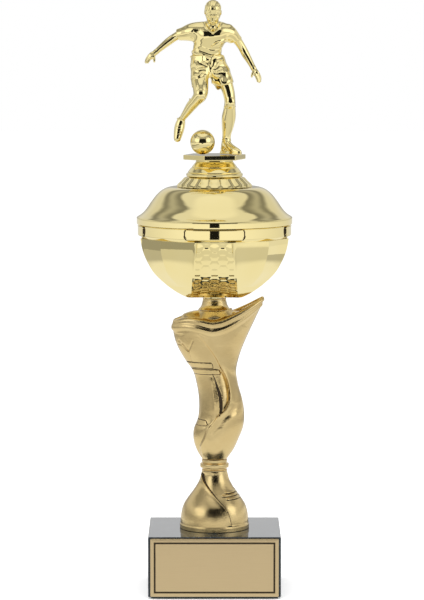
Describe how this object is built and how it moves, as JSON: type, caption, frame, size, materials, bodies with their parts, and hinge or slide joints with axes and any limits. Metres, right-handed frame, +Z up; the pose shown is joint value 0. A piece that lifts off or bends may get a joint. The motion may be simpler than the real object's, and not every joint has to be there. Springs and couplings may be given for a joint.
{
  "type": "covered cup trophy with footballer figure",
  "caption": "Covered cup award: stone block, moulded draped riser, faceted bowl with banded rim, lift-off domed lid and a footballer with ball on a hexagonal plate.",
  "frame": {"origin": "centre of the underside, on the surface that the trophy stands on", "axes": "+Z up the trophy's axis; -Y is the front, where the engraving plate and the player face; +X to the viewer's right"},
  "size_m": [0.1062, 0.1062, 0.4031],
  "materials": {
    "polished_stone": "polished near-black stone with faint grey veins",
    "felt": "dense felt sheet",
    "foam_tape": "double-sided foam tape",
    "plate_gold": "satin anodised gold sheet with a dark engraved border line",
    "satin_gold": "vacuum-metallised satin gold, finely stippled",
    "bright_gold": "vacuum-metallised mirror gold",
    "zinc_steel": "zinc plated",
    "brass": "machined"
  },
  "bodies": {
    "stand": {"base_felt": "felt", "marble_base": "polished_stone", "plate_tape": "foam_tape", "engraving_plate": "plate_gold", "base_washer": "zinc_steel", "base_nut": "zinc_steel", "threaded_rod": "zinc_steel", "riser_foot": "satin_gold", "waist_ring": "satin_gold", "riser_front": "satin_gold", "riser_back": "satin_gold", "cup_stem": "satin_gold", "cup_bowl": "bright_gold", "cup_band": "bright_gold", "cup_washer": "zinc_steel", "cup_nut": "zinc_steel"},
    "lid": {"lid_dome": "bright_gold", "fluted_ring": "bright_gold", "figure_collar": "bright_gold", "collar_insert": "brass", "lid_washer": "zinc_steel", "lid_bolt": "zinc_steel", "figure_plate": "bright_gold", "ball": "bright_gold", "player_figure": "bright_gold"}
  },
  "joints": [
    {"name": "lid_lift", "type": "slide", "parent": "stand", "child": "lid", "axis": [0, 0, 1], "range_m": [0, 0.12]}
  ]
}
